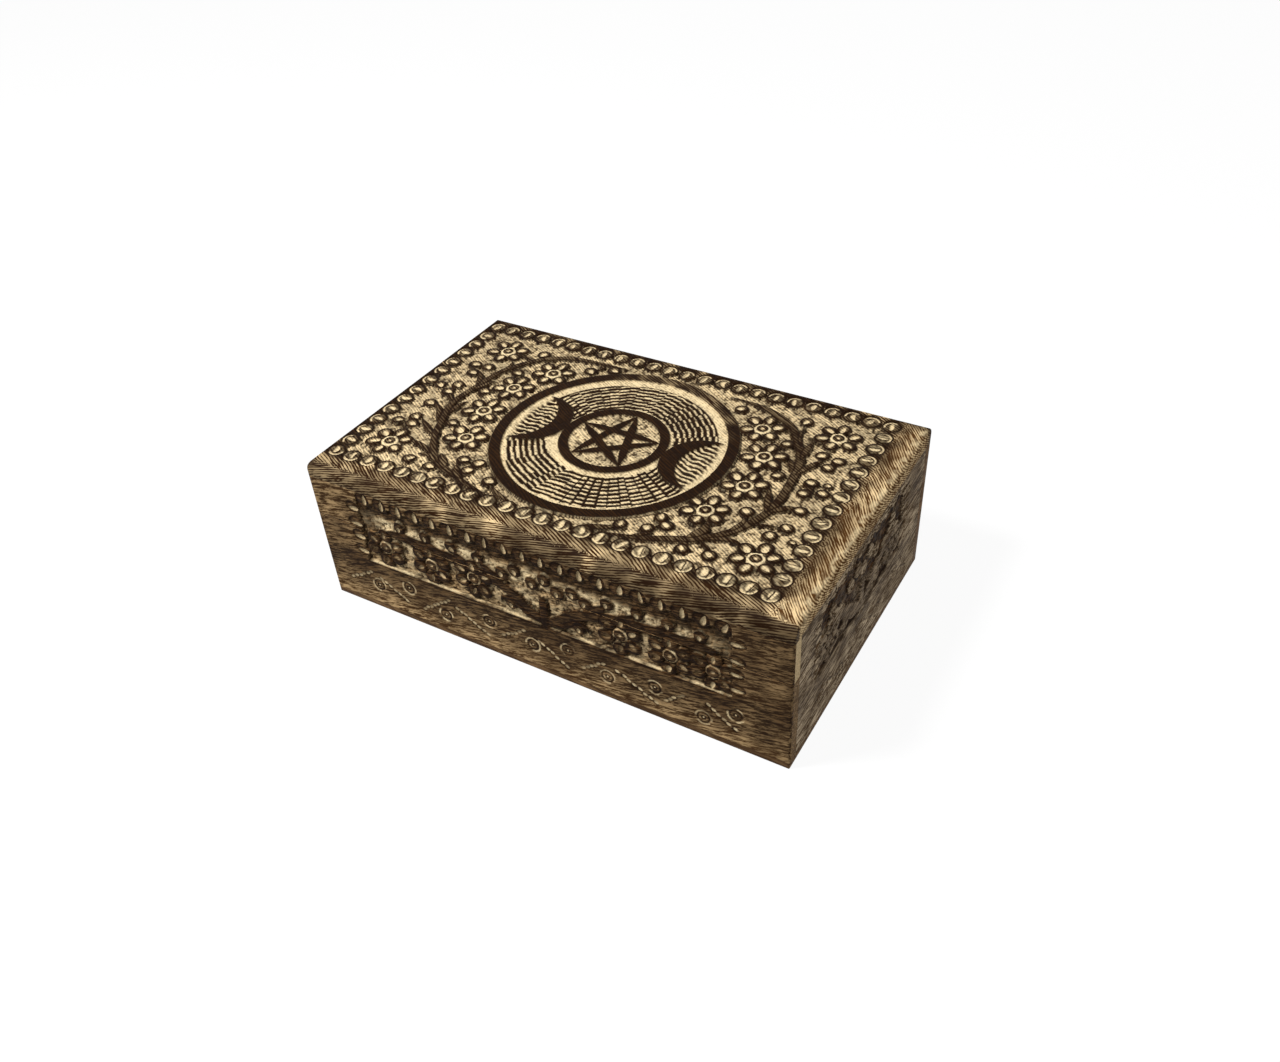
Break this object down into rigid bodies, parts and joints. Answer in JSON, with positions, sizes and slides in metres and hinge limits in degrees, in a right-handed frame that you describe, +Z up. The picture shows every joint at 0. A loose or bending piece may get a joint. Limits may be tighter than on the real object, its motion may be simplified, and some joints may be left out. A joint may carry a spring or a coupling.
{
  "type": "compartment storage box",
  "caption": "Rectangular wooden box with a relief-carved hinged lid, carved sides and fixed compartment dividers.",
  "frame": {"origin": "centre of the flat underside, below the middle of the wooden case", "axes": "+X along the length to the right seen from the front, +Y to the hinged back, +Z up"},
  "size_m": [0.203, 0.1286, 0.065],
  "materials": {
    "carved_wood": "dark-stained and waxed hardwood, rubbed back, with paler cut ground in the carving",
    "plain_wood": "light brown hardwood with a thin satin wax",
    "aged_brass": "dull brass with a brown tarnish"
  },
  "bodies": {
    "base": {"bottom_board": "plain_wood", "base_front_board": "carved_wood", "base_back_board": "carved_wood", "base_left_board": "carved_wood", "base_right_board": "carved_wood", "long_divider": "plain_wood", "cross_divider_left": "plain_wood", "cross_divider_right": "plain_wood", "left_hinge_base_leaf": "aged_brass", "left_hinge_pin": "aged_brass", "left_base_nail_1": "aged_brass", "left_base_nail_2": "aged_brass", "right_hinge_base_leaf": "aged_brass", "right_hinge_pin": "aged_brass", "right_base_nail_1": "aged_brass", "right_base_nail_2": "aged_brass"},
    "lid": {"lid_top_board": "carved_wood", "lid_front_board": "carved_wood", "lid_back_board": "carved_wood", "lid_left_board": "carved_wood", "lid_right_board": "carved_wood", "left_hinge_lid_leaf": "aged_brass", "left_lid_nail_1": "aged_brass", "left_lid_nail_2": "aged_brass", "right_hinge_lid_leaf": "aged_brass", "right_lid_nail_1": "aged_brass", "right_lid_nail_2": "aged_brass"}
  },
  "joints": [
    {"name": "lid_hinge", "type": "hinge", "parent": "base", "child": "lid", "pos_m": [0, 0.0644, 0.041], "axis": [-1, 0, 0], "range_deg": [0, 180]}
  ]
}
